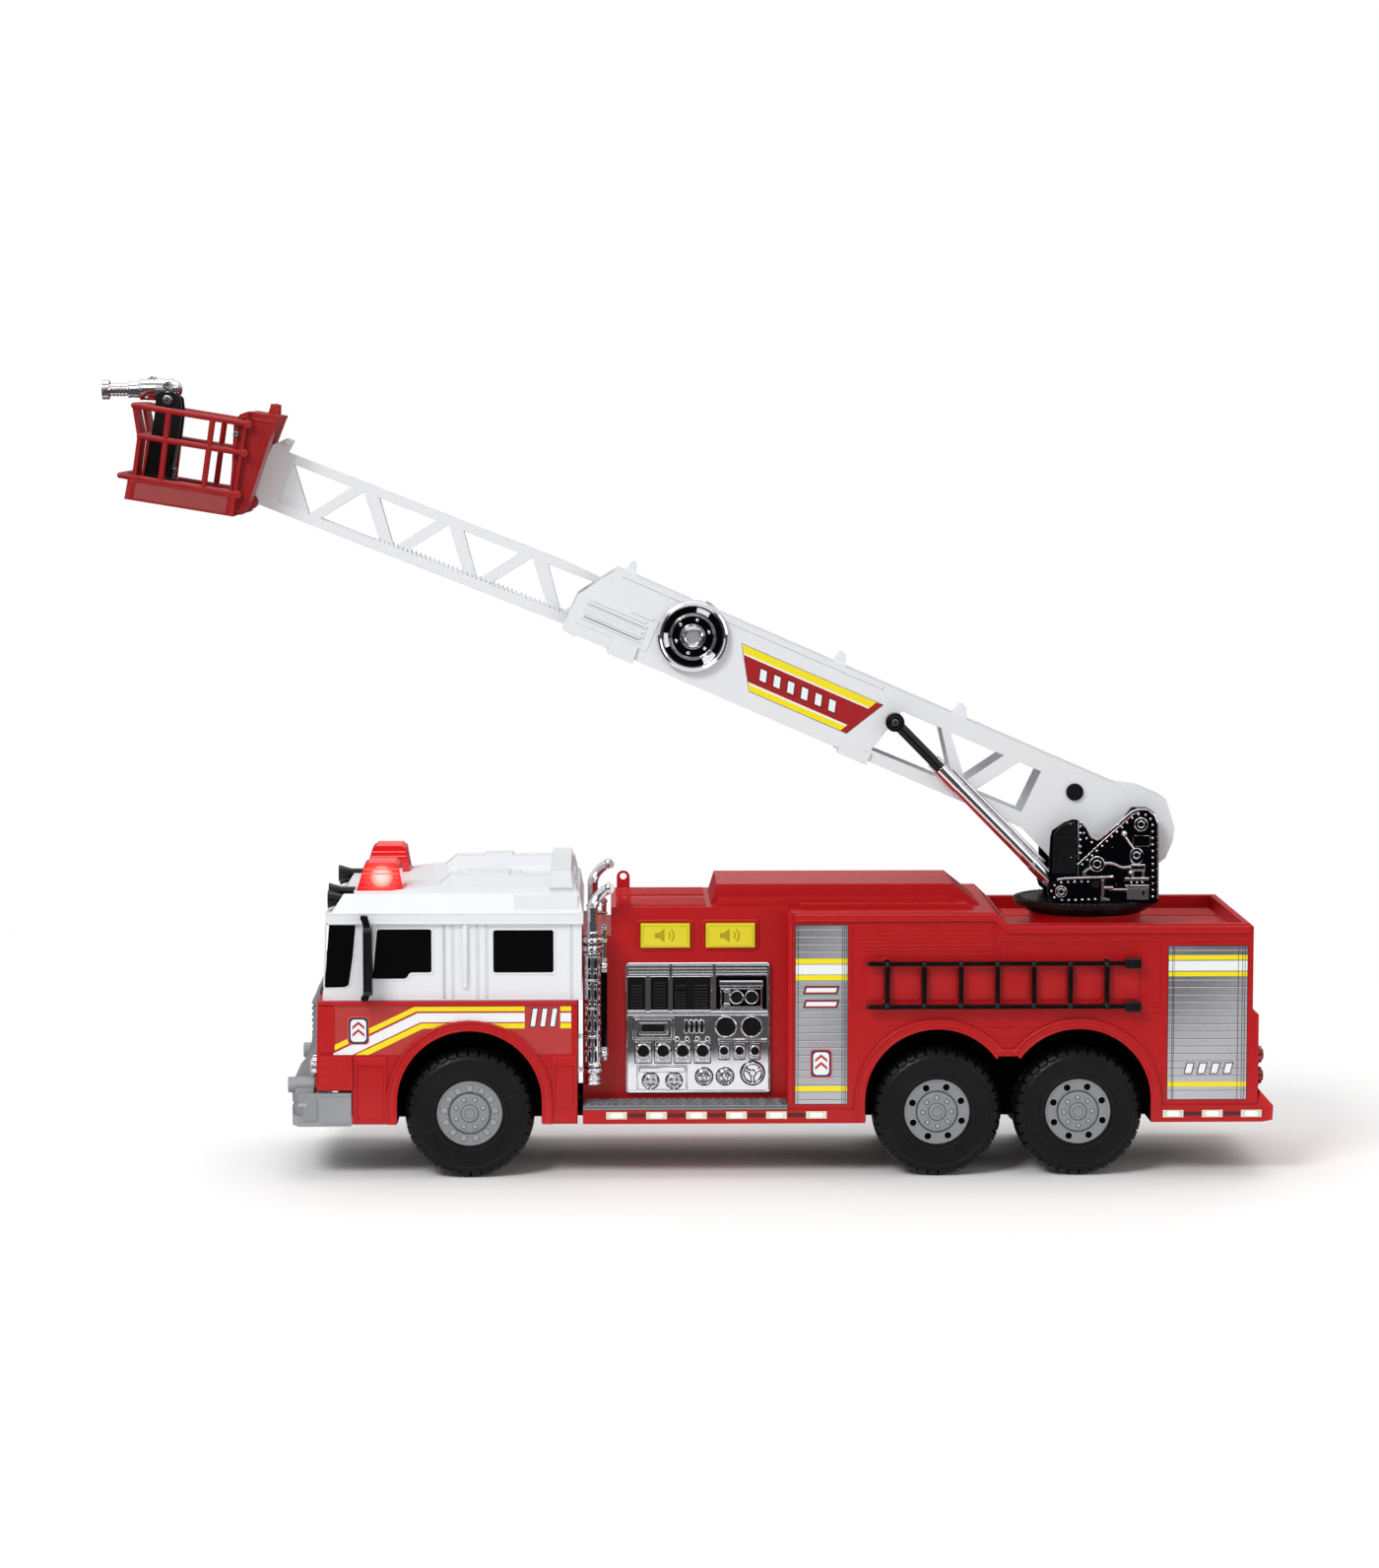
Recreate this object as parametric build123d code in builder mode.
from build123d import *
import math
import os

os.makedirs("parts", exist_ok=True)

# ----------------------------------------------------------------------------
# Toy aerial-ladder fire engine, in millimetres.
# Frame: origin on the ground under the middle of the whole length, nozzle tip
# to rear step. +Z is up, the cab faces -X, the turntable is at +X and the left
# side of the truck is -Y. Pieces are drafted about the middle of the footprint,
# which lies DRAFT_X behind that origin, and moved as they are written.
# ----------------------------------------------------------------------------

# --- driving dimensions -----------------------------------------------------
DRAFT_X = 59.5
WALL = 2.5                 # moulded shell wall
HALF_W = 76.5              # half width of the side panels
FLARE = 78.0               # half width over arches and sills
SILL_Z = 34.6              # underside of the bodywork
DECK_Z = 168.0             # top of the tall side panels
REAR_Z = 160.5             # top of the side panels beside the turntable

AXLE_Z = 41.0
AXLE_R = 2.5
AXLE_BORE_R = 2.58         # running clearance 0.08 mm
TYRE_R = 41.0
HUB_R = 20.8
WHEEL_Y0, WHEEL_Y1 = 51.0, 77.0
HUB_FACE_Y = WHEEL_Y1 - 4
FRONT_X, MID_X, REAR_X = -196.5, 98.5, 187.7
ARCH_R = 45.8
ARCH_Z = 48.4

CAB_REAR_X = -128.5
CAB_SPLIT_Z = 113.0        # joint between lower and upper cab

PUMP_X0, PUMP_X1 = -107.0, 6.0
PUMP_Y = 52.0
PUMP_FRONT_X = -125.2      # front of the sills and of the low bulkhead

TURNTABLE_X = 199.6
TURNTABLE_R = 46.4
TURNTABLE_TOP = 168.6

PIVOT_X, PIVOT_Z = 231.1, 219.1     # boom pivot
BOOM_DEG = 23.5
BOOM_Y = 20.0              # half width of the boom
BOOM_WALL = 2.4

CRANK_X, CRANK_Z = -54.8, 338.8     # crank wheel centre
CRANK_R = 22.8
LADDER_DEG = 21.5
LADDER_Y = 8.0             # half width of the extension ladder
RACK_MODULE = 1.0
PINION_TEETH = 32
PINION_R = RACK_MODULE * PINION_TEETH / 2
PRESSURE = math.radians(25)

BARREL_X, BARREL_Z = 180.2, 176.0   # lower cylinder pin
EYE_X, EYE_Z = 74.1, 284.1          # upper cylinder eye
CYLINDER_Y = 25.7

BASKET_X, BASKET_Z = -344.0, 415.8  # lower rear corner of the basket skirt
BASKET_DEG = 9.35
BASKET_HALF = 45.0
HINGE_X, HINGE_Z = -6.5, 9.4        # basket hinge in the basket's own plane

NOZZLE_X, NOZZLE_Z = -387.7, 488.8  # nozzle pin

SIDES = {-1: "left", 1: "right"}    # sign of y on each side
CUT = Mode.SUBTRACT


# --- helpers that draw into the part they are called from ---------------------
# y0 and y1 may come in either order, so that side * inner, side * outer works.
def box(x0, x1, y0, y1, z0, z1, mode=Mode.ADD):
    with Locations(((x0 + x1) / 2, (y0 + y1) / 2, (z0 + z1) / 2)):
        Box(x1 - x0, abs(y1 - y0), z1 - z0, mode=mode)


def cyl_y(x, z, radius, y0, y1, mode=Mode.ADD):
    with Locations(Location((x, (y0 + y1) / 2, z), (90, 0, 0))):
        Cylinder(radius, abs(y1 - y0), mode=mode)


def cyl_z(x, y, radius, z0, z1, mode=Mode.ADD):
    with Locations((x, y, (z0 + z1) / 2)):
        Cylinder(radius, z1 - z0, mode=mode)


def cyl_x(y, z, radius, x0, x1, mode=Mode.ADD):
    with Locations(Location(((x0 + x1) / 2, y, z), (0, 90, 0))):
        Cylinder(radius, x1 - x0, mode=mode)


def bar(start, end, radius, mode=Mode.ADD):
    """Round bar between two points."""
    run = Vector(end) - Vector(start)
    with BuildSketch(Plane(origin=start, z_dir=run)) as section:
        Circle(radius)
    extrude(section.sketch, amount=run.length, mode=mode)


def prism(plane, points, depth, mode=Mode.ADD):
    with BuildSketch(plane) as outline:
        with BuildLine():
            Polyline(*points, close=True)
        make_face()
    extrude(outline.sketch, amount=depth, mode=mode)


def slab(points, y0, y1, mode=Mode.ADD):
    """Prism of an (x, z) outline, from y0 to y1."""
    y0, y1 = sorted((y0, y1))
    prism(Plane.XZ.offset(-y1), points, y1 - y0, mode)


def slab_on(plane, points, y0, y1, mode=Mode.ADD):
    """Prism of an outline drawn in a tilted side-view plane, from y0 to y1."""
    y0, y1 = sorted((y0, y1))
    prism(plane.offset(y0), points, y1 - y0, mode)


def block_on(plane, x0, x1, z0, z1, y0, y1, mode=Mode.ADD):
    """Rectangular block in a tilted side-view plane."""
    slab_on(plane, [(x1, z1), (x0, z1), (x0, z0), (x1, z0)], y0, y1, mode)


def disc_on(plane, x, z, radius, y0, y1, mode=Mode.ADD):
    y0, y1 = sorted((y0, y1))
    with BuildSketch(plane.offset(y0)) as disc:
        with Locations((x, z)):
            Circle(radius)
    extrude(disc.sketch, amount=y1 - y0, mode=mode)


def ring_cut(x, z, outer, inner, y0, y1):
    """Annular pocket about a line along Y."""
    y0, y1 = sorted((y0, y1))
    with BuildSketch(Plane.XZ.offset(-y1)) as ring:
        with Locations((x, z)):
            Circle(outer)
            Circle(inner, mode=CUT)
    extrude(ring.sketch, amount=y1 - y0, mode=CUT)


def circle_of_eight(x, z, pitch_r, start, radius, y0, y1, mode=Mode.ADD):
    """Eight round studs or holes about a line along Y."""
    y0, y1 = sorted((y0, y1))
    with BuildSketch(Plane.XZ.offset(-y1)) as dots:
        with Locations((x, z)):
            with PolarLocations(pitch_r, 8, start_angle=start):
                Circle(radius)
    extrude(dots.sketch, amount=y1 - y0, mode=mode)


def turned(plane, points, axis, place):
    """Solid of revolution about a global axis, moved to its place."""
    with BuildSketch(plane) as section:
        with BuildLine():
            Polyline(*points, close=True)
        make_face()
    solid = revolve(section.sketch, axis=axis, mode=Mode.PRIVATE)
    add(solid.moved(Location(place)))


def side_plane(x, z, degrees):
    """Side-view plane: local x runs forward and up at the angle, normal +Y."""
    angle = math.radians(degrees)
    return Plane(origin=(x, 0, z), x_dir=(-math.cos(angle), 0, math.sin(angle)), z_dir=(0, 1, 0))


BOOM = side_plane(PIVOT_X, PIVOT_Z, BOOM_DEG)
LADDER = side_plane(CRANK_X, CRANK_Z, LADDER_DEG)
BASKET = side_plane(BASKET_X, BASKET_Z, BASKET_DEG)


def save(builder, name):
    """Move the piece to the truck's origin and write it."""
    piece = builder.part.moved(Location((DRAFT_X, 0, 0)))
    piece.label = name
    export_step(piece, "parts/" + name + ".step")


def save_pair(draw, name):
    """Draw and write the left and the right piece."""
    for side, word in SIDES.items():
        with BuildPart() as piece:
            draw(side)
        save(piece, f"{name}_{word}")


# ============================================================================
# CHASSIS
# ============================================================================
SCREW_Y = 42.6
CAB_SCREW_X = (-230.0, -163.0)
BODY_SCREW_X = (66.0, 143.2, 220.0)
SCREW_PLACES = [(x, side * SCREW_Y) for x in CAB_SCREW_X + BODY_SCREW_X for side in SIDES]
BAT_X0, BAT_X1, BAT_Y, BAT_TOP = -32.0, 24.0, 25.0, 57.0    # battery compartment
CELL_Y = (-16.2, 0.0, 16.2)
CELL_Z = SILL_Z + 10.2
SPEAKER_X = -72.0
SWITCH_X = 50.0
SADDLE_Y0, SADDLE_Y1 = 34, 44
RIB_SPANS = ((-280, -206), (-186, -40), (110, 177), (198, 288))

with BuildPart() as chassis_base:
    box(-286, 292, -46, 46, SILL_Z, SILL_Z + 3)
    # bearing saddles for the three axles, with the tray open between them
    for axle_x in (FRONT_X, MID_X, REAR_X):
        box(axle_x - 5, axle_x + 5, -50, 50, SILL_Z - 1, AXLE_Z, mode=CUT)
        for side in SIDES:
            box(axle_x - 7, axle_x + 7, side * SADDLE_Y0, side * SADDLE_Y1, SILL_Z, AXLE_Z + 6.5)
        cyl_y(axle_x, AXLE_Z, AXLE_BORE_R, -50, 50, mode=CUT)
    # stiffening ribs between the saddles
    for x0, x1 in RIB_SPANS:
        for y in (-30, 30):
            box(x0, x1, y - 1, y + 1, SILL_Z + 2.5, SILL_Z + 8)
    # battery compartment, with a rebate below for its door
    box(BAT_X0 - 2, BAT_X1 + 2, -BAT_Y - 2, BAT_Y + 2, SILL_Z + 2.9, BAT_TOP)
    box(BAT_X0, BAT_X1, -BAT_Y, BAT_Y, SILL_Z - 1, BAT_TOP - 2, mode=CUT)
    box(BAT_X0 - 4, BAT_X1 + 4, -BAT_Y - 4, BAT_Y + 4, SILL_Z - 1, SILL_Z + 1.6, mode=CUT)
    # loudspeaker grille
    with BuildSketch(Plane.XY.offset(SILL_Z - 1)) as grille:
        with Locations((SPEAKER_X, 0)):
            with GridLocations(6, 6, 4, 4):
                Circle(1.5)
    extrude(grille.sketch, amount=5, mode=CUT)
    # loudspeaker seat ring
    with BuildSketch(Plane.XY.offset(SILL_Z + 2.9)) as seat:
        with Locations((SPEAKER_X, 0)):
            Circle(22)
            Circle(20.1, mode=CUT)
    extrude(seat.sketch, amount=6)
    # switch slot
    box(SWITCH_X - 6, SWITCH_X + 6, -2.1, 2.1, SILL_Z - 1, SILL_Z + 4, mode=CUT)
    # assembly screw holes with counterbores from below
    for x, y in SCREW_PLACES:
        cyl_z(x, y, 1.7, SILL_Z - 1, SILL_Z + 4, mode=CUT)
        cyl_z(x, y, 3.2, SILL_Z - 1, SILL_Z + 1.6, mode=CUT)
    cyl_z(BAT_X1 + 9, 0, 1.3, SILL_Z - 1, SILL_Z + 9, mode=CUT)
    # round the front corners
    fillet(chassis_base.edges().filter_by(Axis.Z).group_by(Axis.X)[0], 8)
save(chassis_base, "chassis_base")

with BuildPart() as battery_door:
    box(BAT_X0 - 3.7, BAT_X1 + 3.7, -BAT_Y - 3.7, BAT_Y + 3.7, SILL_Z, SILL_Z + 1.4)
    # five low ribs on the underside
    for i in range(5):
        rib_x = BAT_X0 + 6 + i * 3
        box(rib_x, rib_x + 1.2, -12, 12, SILL_Z - 0.6, SILL_Z + 0.1)
    cyl_z(BAT_X1 - 1.0, 0, 1.7, SILL_Z - 1, SILL_Z + 2, mode=CUT)
    fillet(battery_door.edges().filter_by(Axis.Z).group_by(Axis.X)[-1], 2)
save(battery_door, "battery_door")

with BuildPart() as batteries:
    for y in CELL_Y:
        cyl_x(y, CELL_Z, 7.2, BAT_X0 + 3.2, BAT_X1 - 3.4)
        cyl_x(y, CELL_Z, 2.7, BAT_X1 - 3.5, BAT_X1 - 2.2)
save(batteries, "batteries")

with BuildPart() as battery_contacts:
    for y in CELL_Y:
        box(BAT_X0 + 0.2, BAT_X0 + 0.8, y - 5, y + 5, SILL_Z + 4, SILL_Z + 17)
        cyl_x(y, CELL_Z, 3.4, BAT_X0 + 0.7, BAT_X0 + 3.1)
        box(BAT_X1 - 0.8, BAT_X1 - 0.2, y - 5, y + 5, SILL_Z + 4, SILL_Z + 17)
        cyl_x(y, CELL_Z, 2.2, BAT_X1 - 2.1, BAT_X1 - 0.7)
save(battery_contacts, "battery_contacts")

# (radius, height above the sill line)
SPEAKER_PROFILE = [
    (0, 5.0), (6, 5.0), (17.5, 3.6), (20.0, 3.6), (20.0, 5.4),
    (16, 6.4), (9.5, 10.0), (9.5, 15.5), (0, 15.5),
]
with BuildPart() as speaker:
    profile = [(radius, SILL_Z + height) for radius, height in SPEAKER_PROFILE]
    turned(Plane.XZ, profile, Axis.Z, (SPEAKER_X, 0, 0))
save(speaker, "speaker")

with BuildPart() as power_switch:
    box(SWITCH_X - 8.5, SWITCH_X + 2.5, -4, 4, SILL_Z + 3.1, SILL_Z + 5)
    box(SWITCH_X - 5.5, SWITCH_X - 0.5, -2.0, 2.0, SILL_Z - 1.4, SILL_Z + 3.2)
    fillet(power_switch.edges().group_by(Axis.Z)[0], 0.6)
save(power_switch, "power_switch")


# --- wheel sets ---------------------------------------------------------------
def hub_pair(axle_x):
    """Both hubs of one axle as separate solids."""
    for side in SIDES:
        inner_y = side * WHEEL_Y0
        face_y = side * HUB_FACE_Y
        core_y = side * (WHEEL_Y0 + 15)
        cyl_y(axle_x, AXLE_Z, HUB_R, inner_y, face_y)
        # dished outer face
        ring_cut(axle_x, AXLE_Z, HUB_R - 1.6, 12.4, face_y, face_y - side * 3.0)
        # centre cap and wheel nuts
        cyl_y(axle_x, AXLE_Z, 5.0, face_y, face_y + side * 1.6)
        circle_of_eight(axle_x, AXLE_Z, 8.8, 0, 1.1, face_y, face_y + side * 0.9)
        # hollow inner side
        ring_cut(axle_x, AXLE_Z, HUB_R - 2.4, 6.0, inner_y, core_y)
        # blind axle socket
        cyl_y(axle_x, AXLE_Z, AXLE_R + 0.01, inner_y - side, core_y, mode=CUT)


def hub_windows(axle_x):
    for side in SIDES:
        y0, y1 = side * (WHEEL_Y1 - 12), side * (WHEEL_Y1 + 1)
        circle_of_eight(axle_x, AXLE_Z, 15.7, 12, 2.1, y0, y1, mode=CUT)


# (radius, distance from the middle of the truck)
TYRE_PROFILE = [
    (HUB_R + 0.02, WHEEL_Y0), (TYRE_R - 3.5, WHEEL_Y0), (TYRE_R - 0.6, WHEEL_Y0 + 2.6),
    (TYRE_R, WHEEL_Y0 + 6), (TYRE_R, WHEEL_Y1 - 6), (TYRE_R - 0.6, WHEEL_Y1 - 2.6),
    (TYRE_R - 4.5, WHEEL_Y1 - 0.4), (TYRE_R - 9, WHEEL_Y1), (HUB_R + 3, WHEEL_Y1 - 1),
    (HUB_R + 0.02, WHEEL_Y1 - 2.2),
]

for name, axle_x in (("front", FRONT_X), ("middle", MID_X), ("rear", REAR_X)):
    with BuildPart() as axle:
        cyl_y(axle_x, AXLE_Z, AXLE_R, -WHEEL_Y0 - 14.5, WHEEL_Y0 + 14.5)
    save(axle, name + "_axle")

    with BuildPart() as hubs:
        hub_pair(axle_x)
        if name != "front":
            hub_windows(axle_x)
    save(hubs, name + "_hubs")

    with BuildPart() as tyres:
        for side in SIDES:
            profile = [(radius, side * y) for radius, y in TYRE_PROFILE]
            turned(Plane.XY, profile, Axis.Y, (axle_x, 0, AXLE_Z))
    save(tyres, name + "_tyres")


# ============================================================================
# BODY SHELL (pump section, equipment body, turntable well)
# ============================================================================
def add_wheel_wells(axle_xs, bridge=None):
    """Outer form of the wheel wells and the raised arch lips."""
    lip_r = ARCH_R + 6.2
    for side in SIDES:
        y0, y1 = side * 47.0, side * HALF_W
        for x in axle_xs:
            cyl_y(x, ARCH_Z, ARCH_R + 2, y0, y1)
            box(x - ARCH_R - 2, x + ARCH_R + 2, y0, y1, SILL_Z, ARCH_Z)
        y0, y1 = side * (HALF_W - 1), side * FLARE
        for x in axle_xs:
            cyl_y(x, ARCH_Z, lip_r, y0, y1)
            box(x - lip_r, x + lip_r, y0, y1, SILL_Z, ARCH_Z)
        if bridge:
            box(*bridge, side * 47.0, side * FLARE, SILL_Z, 80.5)


def cut_wheel_wells(axle_xs, bridge=None):
    for side in SIDES:
        y0, y1 = side * 49.0, side * (FLARE + 3)
        for x in axle_xs:
            cyl_y(x, ARCH_Z, ARCH_R, y0, y1, mode=CUT)
            box(x - ARCH_R, x + ARCH_R, y0, y1, SILL_Z - 5, ARCH_Z, mode=CUT)
        if bridge:
            box(*bridge, y0, y1, SILL_Z - 5, 76.9, mode=CUT)
        # trim below the sill line, and the slot that the axle drops into
        for x in axle_xs:
            box(x - 62, x + 62, side * 46.0, side * 84.0, -8, SILL_Z, mode=CUT)
            box(x - 4, x + 4, side * 46.0, side * 50.0, SILL_Z - 5, AXLE_Z + 4.5, mode=CUT)


def screw_bosses(screw_xs):
    """Bosses against the wheel wells, with pilot holes from below."""
    for x in screw_xs:
        for side in SIDES:
            cyl_z(x, side * (SCREW_Y + 0.9), 4.0, SILL_Z + 3.2, 66)
            cyl_z(x, side * SCREW_Y, 1.42, SILL_Z, 60, mode=CUT)


REAR_WELLS = (MID_X, REAR_X)
WELL_BRIDGE = (MID_X + 30, REAR_X - 30)      # span that joins the two wells
MARKER_X = (-104.0, -78.8, -53.6, -28.4, -3.2, 22.0, 247.5, 272.3, 297.0)
MARKER_HALF = 6.5
MARKER_Z0, MARKER_Z1 = 37.7, 42.3
MARKER_GAP = 0.1
PEG_PLACES = [(x, z) for x in (66.1, 204.3) for z in (109.5, 136.5)]   # side ladder pegs
BUTTON_OPENINGS = {"front": (-88.7, -57.0), "rear": (-47.5, -15.8)}
BUTTON_GAP = 0.3
TAIL_LAMPS = [(side * 62, z) for side in SIDES for z in (75.2, 61.8)]   # (y, z)
EYELET_X = -98.9

# outlines as (x, z)
EQUIPMENT_BODY = [
    (4, SILL_Z), (4, DECK_Z - 2), (6, DECK_Z), (134.5, DECK_Z), (142.5, REAR_Z),
    (295.5, REAR_Z), (297.5, REAR_Z - 2), (297.5, 104.3), (301.4, 102.8), (301.4, SILL_Z),
]
EQUIPMENT_CAVITY = [
    (6.5, SILL_Z - 5), (6.5, 165.4), (132, 165.4), (139, 149.4), (294.8, 149.4),
    (294.8, 102), (298.7, 101), (298.7, SILL_Z - 5),
]
REAR_SILL = [
    (232, SILL_Z), (232, 45.4), (301, 45.4), (302.5, 54.5), (311, 44.8),
    (310.5, 35.8), (304, SILL_Z),
]
TOP_LIP = [
    (8, 163.2), (8, 166.8), (135.5, 166.8), (143.5, 159.0), (296, 159.0),
    (296, 155.4), (142.2, 155.4), (134, 163.2),
]

with BuildPart() as body_shell:
    # pump section between cab and equipment body
    box(PUMP_X0, PUMP_X1, -PUMP_Y, PUMP_Y, SILL_Z, 169.0)
    # low bulkhead that reaches forward to the cab
    box(PUMP_FRONT_X, PUMP_X0 + 1, -PUMP_Y, PUMP_Y, SILL_Z, 151.0)
    slab(EQUIPMENT_BODY, -HALF_W, HALF_W)
    # sills
    box(PUMP_FRONT_X, 60, -FLARE, FLARE, SILL_Z, 43.4)
    slab(REAR_SILL, -FLARE, FLARE)
    # raised roof box with sloping ends, on two wider steps
    slab([(-44, 168), (-39.8, 181.8), (110.9, 181.8), (128.3, 168)], -37, 37)
    slab([(-42, 168), (-38, 174), (108, 174), (112, 168)], -49, 49)
    slab([(10, 167), (12.6, 171.4), (118, 171.4), (124, 167)], -58, 58)
    # interior
    inner_y = PUMP_Y - WALL
    box(PUMP_X0 + WALL, PUMP_X1 + 4, -inner_y, inner_y, SILL_Z - 5, 166.4, mode=CUT)
    box(PUMP_FRONT_X - 0.1, PUMP_X0 + 5, -inner_y, inner_y, SILL_Z - 5, 148.4, mode=CUT)
    slab(EQUIPMENT_CAVITY, -HALF_W + WALL, HALF_W - WALL, mode=CUT)
    slab([(-37.5, 160), (-37.5, 179.3), (109.5, 179.3), (120, 171), (120, 160)],
         -34.5, 34.5, mode=CUT)
    # turntable well
    slab([(133.5, 175), (149.0, 152.0), (291.5, 152.0), (291.5, 175)], -69.5, 69.5, mode=CUT)
    add_wheel_wells(REAR_WELLS, WELL_BRIDGE)
    cut_wheel_wells(REAR_WELLS, WELL_BRIDGE)
    # sill light slots, closed at the back
    half = MARKER_HALF + MARKER_GAP
    for x in MARKER_X:
        for side in SIDES:
            box(x - half, x + half, side * (FLARE - 1.2), side * (FLARE + 1),
                MARKER_Z0 - MARKER_GAP, MARKER_Z1 + MARKER_GAP, mode=CUT)
    # turntable pedestal and bearing seat
    cyl_z(TURNTABLE_X, 0, 36.0, 149.0, 160.0)
    cyl_z(TURNTABLE_X, 0, 19.0, 147.2, 150.0)
    cyl_z(TURNTABLE_X, 0, 15.0, 140.0, 165.0, mode=CUT)
    # side body lips and ribs
    for side in SIDES:
        y0, y1 = side * (HALF_W - 0.5), side * (HALF_W + 0.6)
        slab(TOP_LIP, y0, side * FLARE)
        slab([(136, 150.0), (136, 151.2), (296, 151.2), (296, 150.0)], y0, y1)
        slab([(44, 105.6), (44, 106.8), (240, 106.8), (240, 105.6)], y0, y1)
    # raised pads with holes for the side ladders' mounting pegs
    for x, z in PEG_PLACES:
        cyl_y(x, z, 3.4, -HALF_W - 0.6, -HALF_W + 0.5)
        cyl_y(x, z, 3.4, HALF_W - 0.5, HALF_W + 0.6)
        cyl_y(x, z, 1.6, -90, -70, mode=CUT)
        cyl_y(x, z, 1.6, 70, 90, mode=CUT)
    # sound button openings, left side
    for x0, x1 in BUTTON_OPENINGS.values():
        box(x0, x1, -PUMP_Y - 3, -PUMP_Y + 4, 143.3, 159.3, mode=CUT)
    # roof ribs on the pump section
    for i in range(8):
        for side in SIDES:
            y = side * (10 + i * 5)
            box(-104, -47, y - 1, y + 1, 168.9, 169.9)
    # lifting eyes
    for side in SIDES:
        with BuildSketch(Plane.XZ.offset(-side * 48.0 - 1.25)) as eye:
            with Locations((EYELET_X, 176.4)):
                Circle(4.3)
            with Locations((EYELET_X, 172.4)):
                Rectangle(8.6, 8)
            with Locations((EYELET_X, 177.0)):
                Circle(2.2, mode=CUT)
        extrude(eye.sketch, amount=2.5)
    # tail lamp recesses
    for y, z in TAIL_LAMPS:
        cyl_x(y, z, 6.8, 300.2, 303, mode=CUT)
    screw_bosses(BODY_SCREW_X)
save(body_shell, "body_shell")

with BuildPart() as turntable_bearing:
    cyl_z(TURNTABLE_X, 0, 14.95, 147.4, 160.3)
    cyl_z(TURNTABLE_X, 0, 18.5, 160.1, 161.3)
    cyl_z(TURNTABLE_X, 0, 12.06, 140, 170, mode=CUT)
save(turntable_bearing, "turntable_bearing")

# --- cab ----------------------------------------------------------------------
# outlines as (x, z)
CAB_LOWER = [
    (-293, 59), (-292.2, 80), (-291.5, CAB_SPLIT_Z), (CAB_REAR_X, CAB_SPLIT_Z),
    (CAB_REAR_X, SILL_Z), (-270.5, SILL_Z), (-270.5, 56), (-292, 56),
]
WINDOW_FRONT = [
    (-254.5, 158.6), (-219.5, 158.6), (-219.5, 130.2), (-233.4, 130.2), (-235.7, 126.3),
    (-257.6, 126.3),
]
WINDOW_REAR = [(-181.7, 157.9), (-142.9, 157.9), (-142.9, 130.0), (-181.7, 130.0)]
WINDOW_CORNER = [
    (-291.0, 162.3), (-266.4, 162.3), (-268.5, 140.0), (-271.2, 122.0), (-274.5, 120.6),
    (-291.0, 120.3),
]
# the panes stand 0.1 clear of the openings' edges
PANE_FRONT = [
    (-254.4, 158.5), (-219.6, 158.5), (-219.6, 130.3), (-233.5, 130.3), (-235.8, 126.4),
    (-257.5, 126.4),
]
PANE_REAR = [(-181.6, 157.8), (-143.0, 157.8), (-143.0, 130.1), (-181.6, 130.1)]
PANE_CORNER = [
    (-284.0, 162.2), (-266.5, 162.2), (-268.6, 140.0), (-271.3, 122.2), (-274.6, 120.8),
    (-287.4, 120.5),
]
ROOF_RIDGE = [
    (-217.4, 183), (-208.3, 190.8), (-189.5, 190.8), (-189.0, 192.4), (-171.3, 192.4),
    (-170.8, 190.8), (-131, 190.8), (-129, 183),
]
MIRROR_ARM_X = -262.5
MIRROR_ARM_Z = (166.2, 115.8)

with BuildPart() as cab_lower:
    slab(CAB_LOWER, -HALF_W, HALF_W)
    inner_y = HALF_W - WALL
    box(-280, CAB_REAR_X - 2.5, -inner_y, inner_y, SILL_Z - 5, CAB_SPLIT_Z + 5, mode=CUT)
    box(-289, -279, -inner_y, inner_y, 60, CAB_SPLIT_Z + 5, mode=CUT)
    # fender block and waist rib
    for side in SIDES:
        box(-291.5, -270, side * (HALF_W - 1), side * FLARE, 57, 78)
        box(-291.5, CAB_REAR_X, side * (HALF_W - 1), side * FLARE, 110.8, CAB_SPLIT_Z)
    add_wheel_wells((FRONT_X,))
    cut_wheel_wells((FRONT_X,))
    screw_bosses(CAB_SCREW_X)
    # notch in the back wall for the chassis tray
    box(-133, CAB_REAR_X + 1, -47, 47, SILL_Z - 2, 45, mode=CUT)
save(cab_lower, "cab_lower")

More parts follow.
